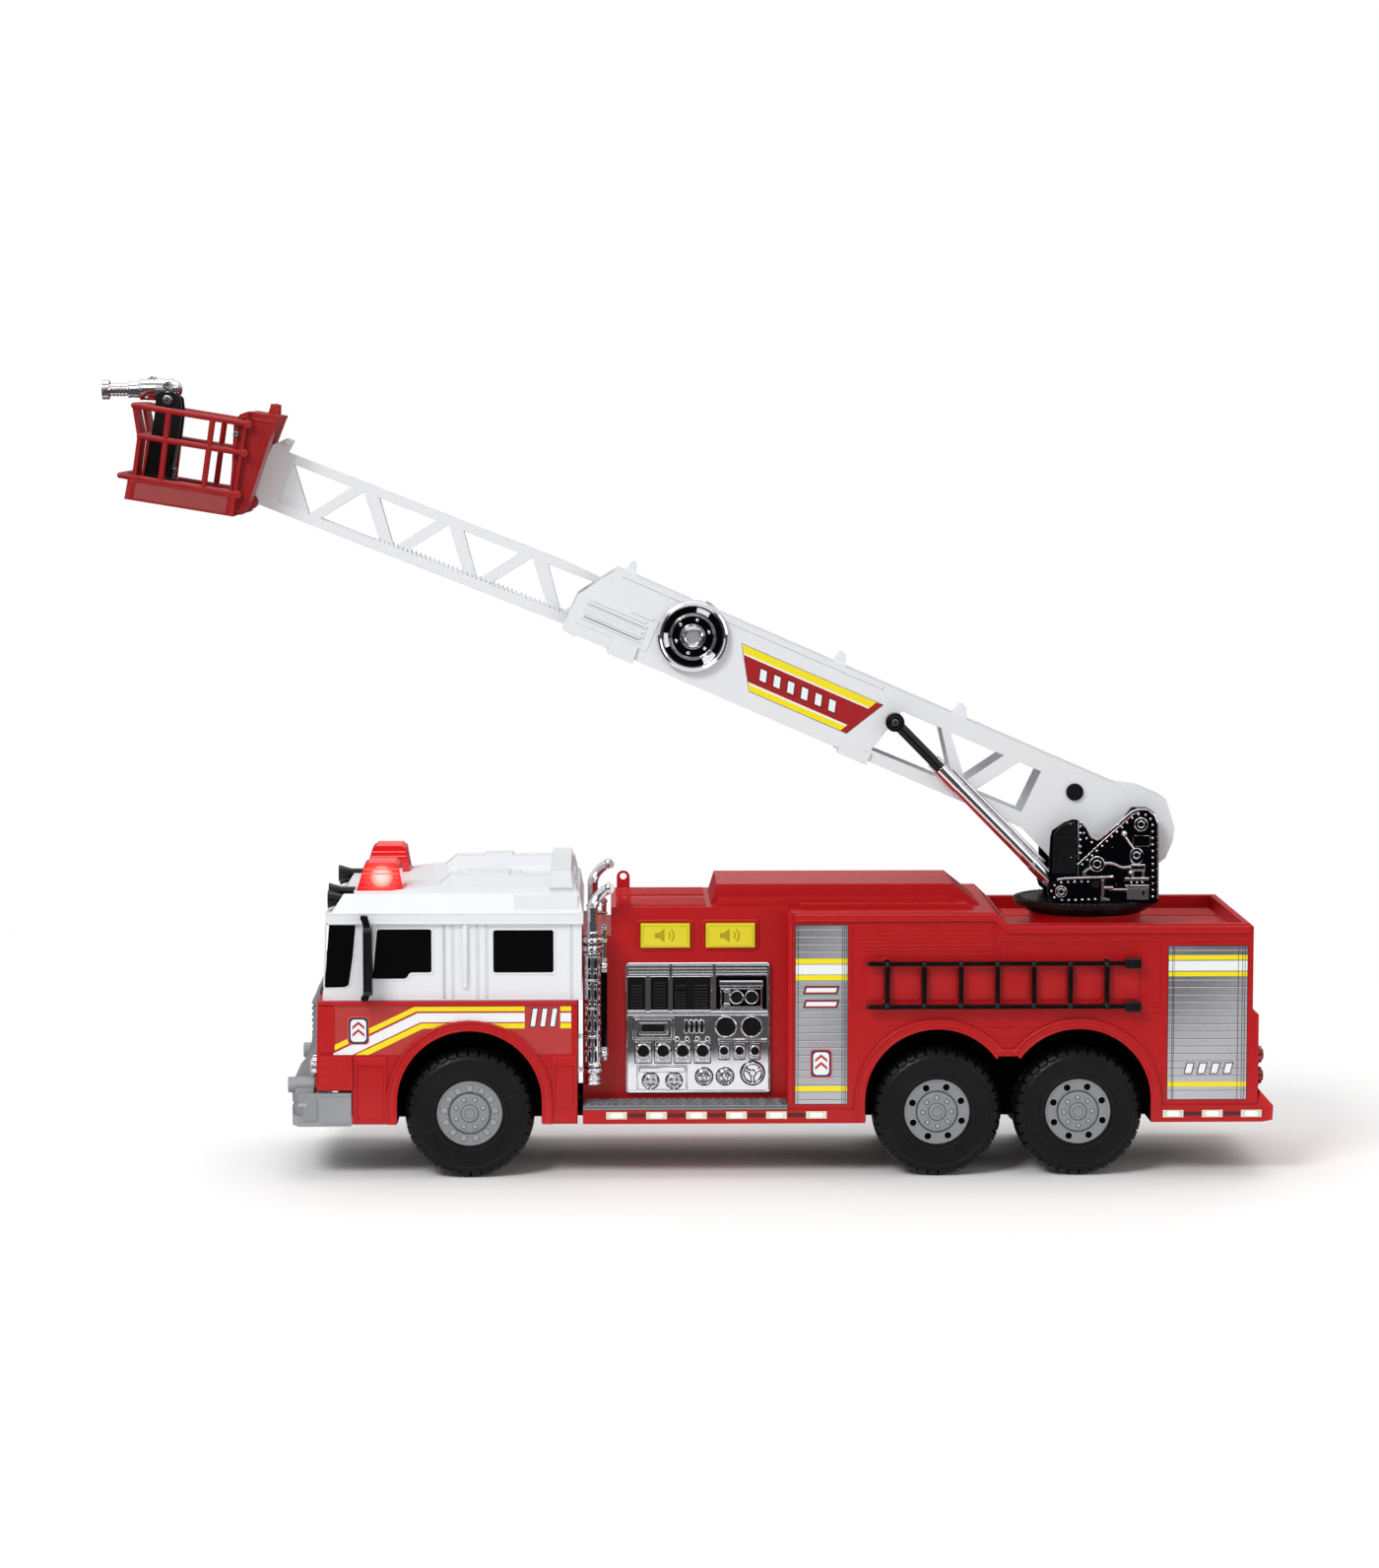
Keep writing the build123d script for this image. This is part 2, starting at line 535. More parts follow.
with BuildPart() as cab_upper:
    # lower box with a slightly raked screen
    slab([(-288.6, CAB_SPLIT_Z), (-284.5, 163.5), (-125.6, 163.5), (-125.6, CAB_SPLIT_Z)],
         -74, 74)
    # drip lip
    slab([(-286.5, 162.5), (-286.0, 168.6), (-124.6, 168.6), (-124.6, 161.2), (-286.0, 161.6)],
         -76.6, 76.6)
    # roof sides leaning inward
    with BuildSketch(Plane.XY.offset(168.0)) as roof_foot:
        with Locations((-204.0, 0)):
            Rectangle(158, 149)
    with BuildSketch(Plane.XY.offset(180.0)) as roof_top:
        with Locations((-201.0, 0)):
            Rectangle(148, 138)
    loft(Sketch() + [roof_foot.sketch, roof_top.sketch], ruled=True)
    # roof deck, ridges, ladder cradle and hatch
    slab([(-262, 179), (-222, 184.5), (-130, 184.5), (-127.5, 179)], -64, 64)
    for side in SIDES:
        slab(ROOF_RIDGE, side * 47, side * 63)
    slab([(-146, 183), (-144.8, 194.0), (-132.4, 194.0), (-131, 183)], -66, 66)
    cyl_z(-185.0, 0, 21.0, 184, 186.6)
    cyl_z(-185.0, 0, 14.0, 186, 187.6)
    # raised side block on the roof flank
    for side in SIDES:
        box(-168, -128, side * 66.0, side * 73.4, 168, 179.6)
    # pockets for the air horns at the front corners and seats for the roof lamps
    for side in SIDES:
        box(-292, -268.2, side * 43.0, side * 67.5, 171.5, 200, mode=CUT)
        box(-268.2, -237.0, side * 34.4, side * 62.6, 180.1, 200, mode=CUT)
    # interior
    slab([(-286.0, CAB_SPLIT_Z - 1), (-282.0, 166.0), (-128.1, 166.0), (-128.1, CAB_SPLIT_Z - 1)],
         -71.5, 71.5, mode=CUT)
    slab([(-268, 160), (-264, 177.3), (-130.5, 177.3), (-130.5, 160)], -62, 62, mode=CUT)
    # side openings, then the windscreen
    for window in (WINDOW_FRONT, WINDOW_REAR, WINDOW_CORNER):
        slab(window, -80, 80, mode=CUT)
    box(-295, -270, -68, 68, 120.4, 162.2, mode=CUT)
    # upright rail and five narrow ribs on each side
    for side in SIDES:
        box(-200.4, -197.2, side * 73.5, side * 75.6, 122, 160)
        for x in (-211.7, -206.4, -190.9, -185.2, -131.9):
            box(x - 0.5, x + 0.5, side * 73.5, side * 74.5, 114.5, 160.5)
    # mirror arm sockets: each bore crosses the cab, so one pass per height would do,
    # but both walls are opened at once here
    for z in MIRROR_ARM_Z:
        cyl_y(MIRROR_ARM_X, z, 1.5, -90, 90, mode=CUT)
save(cab_upper, "cab_upper")

with BuildPart() as cab_windows:
    # one moulding lining the cab, with raised panes that fill the openings
    slab([(-285.4, 118.4), (-281.6, 165.4), (-129, 165.4), (-129, 118.4)], -71.3, 71.3)
    slab([(-283.6, 116), (-280.3, 163.0), (-131, 163.0), (-131, 116)], -69.3, 69.3, mode=CUT)
    box(-290, -120, -60, 60, 164, 170, mode=CUT)
    for side in SIDES:
        slab(PANE_FRONT, side * 70.5, side * 73.2)
        slab(PANE_REAR, side * 70.5, side * 73.2)
        slab(PANE_CORNER, side * 67.0, side * 73.4)
    # windscreen
    slab([(-287.3, 120.6), (-284.0, 162.0), (-280, 162.0), (-282, 120.6)], -67.5, 67.5)
save(cab_windows, "cab_windows")

GRILLE_OUTLINE = [
    (-292.7, 80.2), (-292.0, CAB_SPLIT_Z + 3.5), (-293.6, CAB_SPLIT_Z + 3.5),
    (-297.6, 82.0), (-306.4, 59.6), (-306.0, 57.0), (-293.3, 57.0),
]
with BuildPart() as front_grille:
    slab(GRILLE_OUTLINE, -46, 46)
    # recess crossed by six bars
    box(-299.5, -294.2, -38, 38, 84.5, 108.5, mode=CUT)
    for i in range(6):
        box(-297.0, -293.4, -38.2, 38.2, 86.5 + i * 3.8, 88.5 + i * 3.8)
save(front_grille, "front_grille")

# plan outlines as (x, y)
BUMPER_PLAN = [
    (-270.8, -78), (-304, -78), (-308.2, -70), (-310.6, -40), (-310.6, 40), (-308.2, 70),
    (-304, 78), (-270.8, 78), (-270.8, 73.5), (-291, 73.5), (-291, -73.5), (-270.8, -73.5),
]
BUMPER_BAND = [
    (-290, -90), (-315, -90), (-315, 90), (-290, 90), (-300.5, 79), (-306.7, 70),
    (-309.1, 40), (-309.1, -40), (-306.7, -70), (-300.5, -79),
]
with BuildPart() as front_bumper:
    prism(Plane.XY.offset(33.6), BUMPER_PLAN, 21.2)
    # recessed band around the bumper
    prism(Plane.XY.offset(40.5), BUMPER_BAND, 8.0, mode=CUT)
    # corner rollers and tread top
    for side in SIDES:
        cyl_x(side * 69, 59.0, 5.0, -310.4, -294.0)
        box(-306, -294.5, side * 60, side * 77, 54.0, 58.0)
    box(-305, -293.5, -58, 58, 54.0, 56.8)
    # clear the bodywork behind
    box(-293.2, -270, -77, 77, 55.9, 80, mode=CUT)
    box(-292, -286, -44, 44, 33, 40, mode=CUT)
save(front_bumper, "front_bumper")

with BuildPart() as headlight_lenses:
    for side in SIDES:
        for y in (54.0, 66.5):
            cyl_x(side * y, 70.0, 5.6, -295.6, -293.0)
            cyl_x(side * y, 70.0, 4.6, -296.6, -295.0)
save(headlight_lenses, "headlight_lenses")

ROOF_LENS = [
    (-267.6, 180.3), (-262.6, 197.0), (-260.0, 198.6), (-243.0, 198.6), (-240.8, 197.0),
    (-237.8, 180.3),
]
ROOF_LENS_HOLLOW = [(-264.8, 179.3), (-260.4, 196.0), (-243.0, 196.0), (-240.6, 179.3)]
with BuildPart() as roof_light_lenses:
    for side in SIDES:
        slab(ROOF_LENS, side * 35, side * 62)
        slab(ROOF_LENS_HOLLOW, side * 37, side * 60, mode=CUT)
save(roof_light_lenses, "roof_light_lenses")

with BuildPart() as roof_light_leds:
    for side in SIDES:
        for y in (43.0, 54.0):
            for x in (-256.5, -248.5):
                cyl_z(x, side * y, 2.5, 180.15, 188.0)
                with Locations((x, side * y, 188.0)):
                    Sphere(2.5)
save(roof_light_leds, "roof_light_leds")

with BuildPart() as air_horns:
    for side in SIDES:
        for y, z in ((62.0, 175.8), (50.0, 179.2)):
            with BuildSketch(Plane(origin=(-285.4, side * y, z), z_dir=(1, 0, 0))) as mouth:
                Circle(5.6)
            with BuildSketch(Plane(origin=(-277.0, side * y, z), z_dir=(1, 0, 0))) as throat:
                Circle(3.2)
            loft(Sketch() + [mouth.sketch, throat.sketch], ruled=True)
            cyl_x(side * y, z, 3.2, -277.1, -268.8)
            cyl_x(side * y, z, 4.4, -286, -283.4, mode=CUT)
        # mounting block
        box(-278, -270, side * 46, side * 66, 171.6, 175.4)
    for side in SIDES:
        box(-275.5, -272.5, side * 48, side * 52, 174, 178)
save(air_horns, "air_horns")


for side, word in SIDES.items():
    with BuildPart() as mirror:
        box(-262.0, -256.4, side * 78.2, side * 92.0, 118.5, 161.0)
        for z in MIRROR_ARM_Z:
            cyl_y(MIRROR_ARM_X, z, 1.45, side * 72.5, side * 84.0)
        # webs between the arms and the mirror body
        slab([(-264.0, 168.0), (-259.5, 168.0), (-257.5, 160.0), (-262.0, 160.0)],
             side * 81.4, side * 84.6)
        slab([(-264.0, 114.2), (-259.5, 114.2), (-257.5, 119.5), (-262.0, 119.5)],
             side * 81.4, side * 84.6)
        # round the outer corners
        outer = 0 if side < 0 else -1
        fillet(mirror.edges().filter_by(Axis.X).group_by(Axis.Y)[outer], 3)
    save(mirror, "mirror_" + word)

EXHAUST_X, EXHAUST_Y = -119.0, 68.0
RETURN_X = EXHAUST_X + 7.4       # thin return pipe
ELBOW_Z = 171.0


def exhaust(side):
    y = side * EXHAUST_Y
    # stack with a swept elbow to the rear
    with BuildLine() as run:
        Line((EXHAUST_X, y, 60.0), (EXHAUST_X, y, ELBOW_Z))
        RadiusArc((EXHAUST_X, y, ELBOW_Z), (EXHAUST_X + 11.0, y, 183.0), 11.6)
    with BuildSketch(Plane(origin=(EXHAUST_X, y, 60.0), z_dir=(0, 0, 1))) as section:
        Circle(3.4)
    sweep(section.sketch, path=run.line)
    # heat guard, three clamps, bottom fitting: (radius, bottom, top)
    for radius, z0, z1 in ((4.9, 70.0, 142.0), (5.6, 143.5, 146.5), (5.6, 149.0, 151.5),
                           (5.6, 66.0, 69.0), (4.6, 58.6, 64.5)):
        cyl_z(EXHAUST_X, y, radius, z0, z1)
    # return pipe with ball fittings
    cyl_z(RETURN_X, y, 1.7, 74.0, 160.0)
    for z in (78.0, 134.2):
        with Locations((RETURN_X, y, z)):
            Sphere(2.6)
        box(EXHAUST_X, RETURN_X, y - 1.2, y + 1.2, z - 1.5, z + 1.5)
    # lugs to the back walls of the lower and upper cab
    for x, z in ((CAB_REAR_X + 0.2, 66.5), (-125.4, 144.0)):
        box(x, EXHAUST_X, y - 2, y + 2, z, z + 2.5)


save_pair(exhaust, "exhaust")

PANEL_X0, PANEL_X1 = -98.1, -6.1
PANEL_Z0, PANEL_Z1 = 50.4, 133.9
# gauges, ports and valves: (x, z, radius)
PANEL_PORTS = [
    (-36.0, 91.5, 6.4), (-19.0, 91.5, 6.4), (-90.0, 77.0, 4.6), (-74.5, 77.0, 4.6),
    (-60.5, 77.0, 4.6), (-47.0, 77.0, 4.6), (-33.5, 77.5, 3.6), (-24.0, 77.5, 3.6),
    (-14.5, 77.5, 3.6), (-48.0, 60.5, 5.0), (-36.0, 60.5, 5.0), (-17.5, 60.5, 6.6),
    (-29.0, 112.5, 3.6), (-19.5, 112.5, 3.6),
]


def pump_panel(side):
    face_y = side * (PUMP_Y + 2.0)
    y1 = side * (PUMP_Y + 3.4)
    box(PANEL_X0, PANEL_X1, side * (PUMP_Y + 0.02), face_y, PANEL_Z0, PANEL_Z1)
    # raised border
    y0 = face_y - side * 0.2
    box(PANEL_X0, PANEL_X1, y0, y1, PANEL_Z1 - 2, PANEL_Z1)
    box(PANEL_X0, PANEL_X1, y0, y1, PANEL_Z0, PANEL_Z0 + 2)
    box(PANEL_X0, PANEL_X0 + 2, y0, y1, PANEL_Z0, PANEL_Z1)
    box(PANEL_X1 - 2, PANEL_X1, y0, y1, PANEL_Z0, PANEL_Z1)
    for x, z, radius in PANEL_PORTS:
        cyl_y(x, z, radius, y0, y1)
        cyl_y(x, z, radius - 1.4, face_y + side * 0.4, y1 + side, mode=CUT)
    # raised blocks
    box(-92, -70, y0, y1, 88, 96)
    box(-94, -68, y0, y1, 55, 66)
    for x in (-90, -76, -62, -48):
        box(x - 4.5, x + 4.5, y0, y1, 104, 124)


save_pair(pump_panel, "pump_panel")


def running_board(side):
    box(-125.0, 3.9, side * (PUMP_Y + 0.1), side * FLARE, 43.45, 46.4)
    # tread ribs
    for i in range(16):
        x = -121 + i * 8.0
        box(x, x + 1.4, side * 56, side * 75, 46.3, 46.9)


save_pair(running_board, "running_board")

with BuildPart() as marker_light_lenses:
    for x in MARKER_X:
        for side in SIDES:
            box(x - MARKER_HALF, x + MARKER_HALF, side * (FLARE - 1.18), side * (FLARE + 0.5),
                MARKER_Z0, MARKER_Z1)
save(marker_light_lenses, "marker_light_lenses")

with BuildPart() as tail_light_lenses:
    for y, z in TAIL_LAMPS:
        cyl_x(y, z, 6.7, 300.25, 303.4)
        cyl_x(y, z, 5.4, 303.3, 305.2)
        cyl_x(y, z, 3.4, 305.1, 306.4)
save(tail_light_lenses, "tail_light_lenses")

# --- electronics behind the sound buttons ---------------------------------------
with BuildPart() as circuit_board:
    box(-98, -8, -41.6, -40.0, 128, 164)
    # two button switches and the sound chip
    for x in (-72.8, -31.6):
        box(x - 3, x + 3, -43.6, -41.5, 148.3, 154.3)
    box(-60, -46, -40.1, -38.0, 138, 152)
    # edge tab that reaches the front wall of the pump section
    box(-104.4, -97.9, -41.6, -40.0, 140, 150)
save(circuit_board, "circuit_board")

for name, (opening_x0, opening_x1) in BUTTON_OPENINGS.items():
    x0, x1 = opening_x0 + BUTTON_GAP, opening_x1 - BUTTON_GAP
    with BuildPart() as sound_button:
        # cap, retaining flange, stem
        box(x0, x1, -PUMP_Y - 3.4, -PUMP_Y + 2.7, 143.6, 159.0)
        box(x0 - 2.0, x1 + 2.0, -PUMP_Y + 2.6, -PUMP_Y + 4.0, 141.6, 161.0)
        cyl_y((x0 + x1) / 2, 151.3, 2.2, -PUMP_Y + 3.9, -45.8)
    save(sound_button, "sound_button_" + name)

with BuildPart() as body_screws:
    for x, y in SCREW_PLACES:
        cyl_z(x, y, 3.0, SILL_Z, SILL_Z + 1.58)
        cyl_z(x, y, 1.4, SILL_Z + 1.5, 52)
save(body_screws, "body_screws")


# ============================================================================
# TURNTABLE AND TURRET
# ============================================================================
PLATE_Y0, PLATE_Y1 = 30.9, 32.9
CHEEK_Y0, CHEEK_Y1 = 20.6, 22.6
CHEEK_FOOT = TURNTABLE_TOP - 1
PLATE_FOOT = TURNTABLE_TOP + 0.05
# outlines as (x, z)
PIVOT_CHEEK = [
    (203, CHEEK_FOOT), (222.5, 224.0), (226.5, 229.0), (235.7, 229.0), (240.8, 223.0),
    (241.5, 200.0), (241.5, CHEEK_FOOT),
]
CYLINDER_LUG = [
    (174.5, CHEEK_FOOT), (174.5, 176.0), (177, 181.0), (183.5, 181.0), (190, 174),
    (195, CHEEK_FOOT),
]
PLATE_OUTLINE = [
    (172.7, 184.8), (172.7, 197.5), (173.2, 210.5), (174.4, 215.2), (181.8, 220.3),
    (187.5, 222.3), (190.2, 222.1), (192.4, 220.6), (195.9, 216.4), (199.1, 210.5),
    (201.5, 209.2), (205.1, 209.2), (208.0, 211.8), (225.5, 227.8), (228.4, 229.3),
    (231.8, 229.7), (236.0, 229.2), (239.6, 226.6), (241.8, 222.8), (242.6, 216.0),
    (242.8, 203.6), (242.6, PLATE_FOOT), (180.2, PLATE_FOOT), (176.0, 169.6),
    (172.8, 172.8), (171.7, 176.5), (172.4, 180.5),
]

with BuildPart() as turntable_disc:
    cyl_z(TURNTABLE_X, 0, TURNTABLE_R, 165.2, TURNTABLE_TOP)
    cyl_z(TURNTABLE_X, 0, 40.0, 161.6, 165.4)
    cyl_z(TURNTABLE_X, 0, 12.0, 146.8, 162.0)
    cyl_z(TURNTABLE_X, 0, 9.0, 142.0, 147.0)
    cyl_z(TURNTABLE_X, 0, 6.0, 130.0, 175.0, mode=CUT)
    for side in SIDES:
        # inner cheek that carries the boom pivot, and lug for the cylinder
        slab(PIVOT_CHEEK, side * CHEEK_Y0, side * CHEEK_Y1)
        slab(CYLINDER_LUG, side * CHEEK_Y0, side * (CHEEK_Y1 - 0.6))
        # foot on the inner side of the outer plate
        box(205, 240, side * 28.4, side * (PLATE_Y0 - 0.05), CHEEK_FOOT, TURNTABLE_TOP + 5)
        y0, y1 = side * (CHEEK_Y0 - 1), side * (PLATE_Y1 + 1)
        cyl_y(PIVOT_X, PIVOT_Z, 4.0, y0, y1, mode=CUT)
        cyl_y(BARREL_X, BARREL_Z, 2.0, y0, y1, mode=CUT)
save(turntable_disc, "turntable_disc")

with BuildPart() as turntable_retainer:
    cyl_z(TURNTABLE_X, 0, 19.0, 143.4, 146.75)
    cyl_z(TURNTABLE_X, 0, 9.02, 140.0, 150.0, mode=CUT)
save(turntable_retainer, "turntable_retainer")


def turret_plate(side):
    slab(PLATE_OUTLINE, side * PLATE_Y0, side * PLATE_Y1)
    # raised details: lower strap, hubs, valve stack
    y0, y1 = side * (PLATE_Y1 - 0.2), side * (PLATE_Y1 + 1.6)
    box(190.5, 213.9, y0, y1, 183.4, 186.4)
    cyl_y(BARREL_X, BARREL_Z, 4.8, y0, y1)
    cyl_y(203.1, 193.3, 4.6, y0, y1)
    cyl_y(228.8, 198.7, 3.9, y0, y1)
    cyl_y(PIVOT_X, PIVOT_Z, 4.1, y0, y1)
    box(224.3, 234.8, y0, y1, 184.6, 192.9)
    box(223.2, 236.6, y0, y1, 169.6, 183.6)
    box(226.2, 236.6, y0, y1, 205.2, 211.8)
    # blind pin sockets from the inner side
    y0, y1 = side * (PLATE_Y0 - 1), side * (PLATE_Y1 - 0.4)
    cyl_y(PIVOT_X, PIVOT_Z, 4.0, y0, y1, mode=CUT)
    cyl_y(BARREL_X, BARREL_Z, 2.0, y0, y1, mode=CUT)


save_pair(turret_plate, "turret_plate")

with BuildPart() as pivot_pins:
    cyl_y(PIVOT_X, PIVOT_Z, 3.98, -PLATE_Y1 + 0.5, PLATE_Y1 - 0.5)
    for side in SIDES:
        cyl_y(BARREL_X, BARREL_Z, 1.98, side * CHEEK_Y0, side * (PLATE_Y1 - 0.5))
save(pivot_pins, "pivot_pins")

# ============================================================================
# BOOM (two moulded halves), local frame: x forward from the pivot, y up
# ============================================================================
BOOM_OUTLINE = [
    (21.5, 16.4), (370.3, 16.4), (376.4, 7.9), (387.6, -8.8), (388.4, -30.0),
    (387.8, -33.2), (379.7, -34.4), (377.5, -32.9), (66.7, -32.9), (43.5, -43.2),
    (22.0, -46.5), (-10.0, -33.0), (-22.1, -20.5), (-25.6, -14.0), (-25.4, -2.4),
    (-23.2, 5.6), (-10.3, 20.6), (4.9, 20.6),
]
BOOM_CAVITY = [
    (60.0, 13.8), (400.0, 13.8), (400.0, -31.6), (350.0, -30.8), (75.0, -30.4), (60.0, -24.0),
]
ROOT_POCKET = [
    (50, 12), (12, 12), (-16, 8), (-16, -10), (12, -30), (45, -34), (52, -24),
]
BOOM_WINDOWS = [
    [(168.0, 5.0), (140.5, 5.0), (119.0, -24.6), (176.0, -25.6)],
    [(134.2, 5.0), (96.5, 5.0), (112.6, -20.0)],
    [(86.0, 5.0), (70.5, 5.0), (71.5, -24.0), (103.4, -24.4), (104.0, -22.0)],
]
BOOM_SCREW = (45.4, 1.5)


def boom_shell(side):
    slab_on(BOOM, BOOM_OUTLINE, side * 0.02, side * BOOM_Y)
    # cavity leaves the side wall and the top and bottom walls
    slab_on(BOOM, BOOM_CAVITY, side * -0.5, side * (BOOM_Y - BOOM_WALL), mode=CUT)
    # root pocket around the pivot, and the pivot boss in it
    slab_on(BOOM, ROOT_POCKET, side * -0.5, side * (BOOM_Y - 3), mode=CUT)
    disc_on(BOOM, 0, 0, 9.0, side * 4.0, side * (BOOM_Y - 0.5))
    # open truss windows in the side wall
    for window in BOOM_WINDOWS:
        slab_on(BOOM, window, side * 12, side * (BOOM_Y + 2), mode=CUT)
    # raised details: four louvres, short bar, edge rail
    y0, y1 = side * (BOOM_Y - 0.5), side * (BOOM_Y + 1.0)
    for i in range(4):
        top = -9.6 - 3.4 * i
        block_on(BOOM, 338.5, 380.0, top - 2.0, top, y0, y1)
    block_on(BOOM, 337.0, 352.0, -5.6, -3.6, y0, y1)
    block_on(BOOM, 185.0, 366.0, 12.8, 15.0, y0, side * (BOOM_Y + 0.5))
    # blocks on the lower edge
    y0, y1 = side * (BOOM_Y - 4.0), side * (BOOM_Y + 1.8)
    slab_on(BOOM, [(357.0, -24.6), (339.0, -24.6), (338.2, -35.6), (355.8, -35.6)], y0, y1)
    block_on(BOOM, 175.3, 195.8, -35.6, -27.5, y0, y1)
    # guide pegs on the top edge
    for x in (362.0, 216.0, 131.4):
        slab_on(BOOM, [(x - 4.2, 16.0), (x - 1.2, 23.6), (x + 1.6, 23.6), (x + 3.4, 16.0)],
                side * 9.0, side * 12.5)
    # running bores: pivot, crank shaft
    y0, y1 = side * -0.5, side * (BOOM_Y + 3)
    disc_on(BOOM, 0, 0, 4.06, y0, y1, mode=CUT)
    disc_on(LADDER, 0, 0, 5.06, y0, y1, mode=CUT)
    # clear the gear disc inside the shell
    disc_on(LADDER, 0, 0, 17.6, side * -0.5, side * 14.0, mode=CUT)
    # screw socket
    disc_on(BOOM, *BOOM_SCREW, 1.6, -side, side * (BOOM_Y + 1), mode=CUT)


save_pair(boom_shell, "boom_shell")

with BuildPart() as boom_screws:
    for side in SIDES:
        disc_on(BOOM, *BOOM_SCREW, 5.2, side * (BOOM_Y + 0.05), side * (BOOM_Y + 2.2))
        disc_on(BOOM, *BOOM_SCREW, 1.55, side * 12.0, side * (BOOM_Y + 0.2))
save(boom_screws, "boom_screws")


# --- crank wheels, gears and ladder rack -----------------------------------------
def involute_gear(teeth, module, phase_deg, backlash=0.16, addendum=0.8, dedendum=1.05):
    """Outline of a spur gear with one tooth centred at phase_deg."""
    pitch_r = module * teeth / 2
    base_r = pitch_r * math.cos(PRESSURE)
    tip_r = pitch_r + addendum * module
    root_r = pitch_r - dedendum * module
    start_r = max(base_r, root_r)
    half_tooth = math.pi / (2 * teeth) - backlash / (2 * pitch_r)
    pitch_involute = math.tan(PRESSURE) - PRESSURE
    # half a tooth as (radius, angle from the tooth's centre line)
    flank = []
    for i in range(5):
        radius = start_r + (tip_r - start_r) * i / 4
        slope = math.acos(min(1.0, base_r / radius))
        flank.append((radius, half_tooth + pitch_involute - (math.tan(slope) - slope)))
    flank.insert(0, (root_r, flank[0][1] + 0.002))
    points = []
    for i in range(teeth):
        centre = math.radians(phase_deg) + 2 * math.pi * i / teeth
        for radius, angle in flank:
            points.append((radius * math.cos(centre - angle), radius * math.sin(centre - angle)))
        for radius, angle in reversed(flank):
            points.append((radius * math.cos(centre + angle), radius * math.sin(centre + angle)))
    return points


# gear and shaft of each side, concentric with the crank wheel
with BuildPart() as crank_gears:
    for side in SIDES:
        slab_on(LADDER, involute_gear(PINION_TEETH, RACK_MODULE, -90), side * 5.9, side * 7.8)
        disc_on(LADDER, 0, 0, 5.0, side * 7.7, side * 24.0)
save(crank_gears, "crank_gears")


def crank_wheel(side):
    disc_on(LADDER, 0, 0, CRANK_R, side * 20.9, side * 26.0)
    # dished face between rim and hub rings
    y0, y1 = sorted((side * 24.6, side * 27.0))
    for outer, inner in ((19.8, 14.6), (13.4, 7.2)):
        with BuildSketch(LADDER.offset(y0)) as ring:
            Circle(outer)
            Circle(inner, mode=CUT)
        extrude(ring.sketch, amount=y1 - y0, mode=CUT)
    # six rivets
    y0, y1 = sorted((side * 24.4, side * 25.6))
    with BuildSketch(LADDER.offset(y0)) as rivets:
        with PolarLocations(10.9, 6, start_angle=20):
            Circle(0.9)
    extrude(rivets.sketch, amount=y1 - y0)
    # three oval finger slots
    y0, y1 = sorted((side * 20.0, side * 27.0))
    with BuildSketch(LADDER.offset(y0)) as slots:
        with PolarLocations(17.0, 3, start_angle=46):
            SlotOverall(8.0, 3.6, rotation=90)
    extrude(slots.sketch, amount=y1 - y0, mode=CUT)
    # socket for the shaft, and a shallow recess in the hub face
    disc_on(LADDER, 0, 0, 5.01, side * 20.0, side * 24.02, mode=CUT)
    disc_on(LADDER, 0, 0, 4.6, side * 25.2, side * 27.0, mode=CUT)


save_pair(crank_wheel, "crank_wheel")

# outlines in the ladder's plane: x forward from the crank centre, y up
LADDER_OUTLINE = [
    (15.0, -23.3), (288.8, -23.3), (294.3, -17.3), (292.9, 15.3), (285.7, 22.5),
    (281.4, 22.3), (282.4, 14.3), (95.0, 14.3), (-16.0, 8.0), (-16.0, -23.3),
]
LADDER_WINDOWS = [
    [(276.0, 8.6), (236.5, 8.6), (255.6, -17.6)],
    [(228.2, 8.6), (207.4, -17.2), (247.6, -17.2)],
    [(217.8, 8.6), (178.4, 8.6), (197.8, -17.6)],
    [(170.2, 8.6), (149.8, -17.2), (189.8, -17.2)],
    [(160.1, 8.6), (121.1, 8.6), (140.8, -17.6)],
    [(113.0, 8.6), (92.5, -17.2), (132.3, -17.2)],
    [(102.3, 8.6), (63.4, 8.6), (83.1, -17.6)],
    [(55.4, 8.6), (34.9, -17.2), (74.7, -17.2)],
]


def rack_outline(x0, x1, base, pitch_line):
    """Rack teeth along local x, pointing up, a space centred on x = 0."""
    pitch = math.pi * RACK_MODULE
    tip = pitch_line + 0.8 * RACK_MODULE
    root = pitch_line - 1.0 * RACK_MODULE
    half = pitch / 4 - 0.04                      # half tooth on the pitch line
    half_root = half + math.tan(PRESSURE) * 1.0 * RACK_MODULE
    half_tip = half - math.tan(PRESSURE) * 0.8 * RACK_MODULE
    points = [(x0, base), (x0, root)]
    tooth = math.ceil((x0 + pitch) / pitch)
    while (tooth + 0.5) * pitch + pitch / 2 < x1:
        centre = (tooth + 0.5) * pitch
        points += [(centre - half_root, root), (centre - half_tip, tip),
                   (centre + half_tip, tip), (centre + half_root, root)]
        tooth += 1
    points += [(x1, root), (x1, base)]
    return points


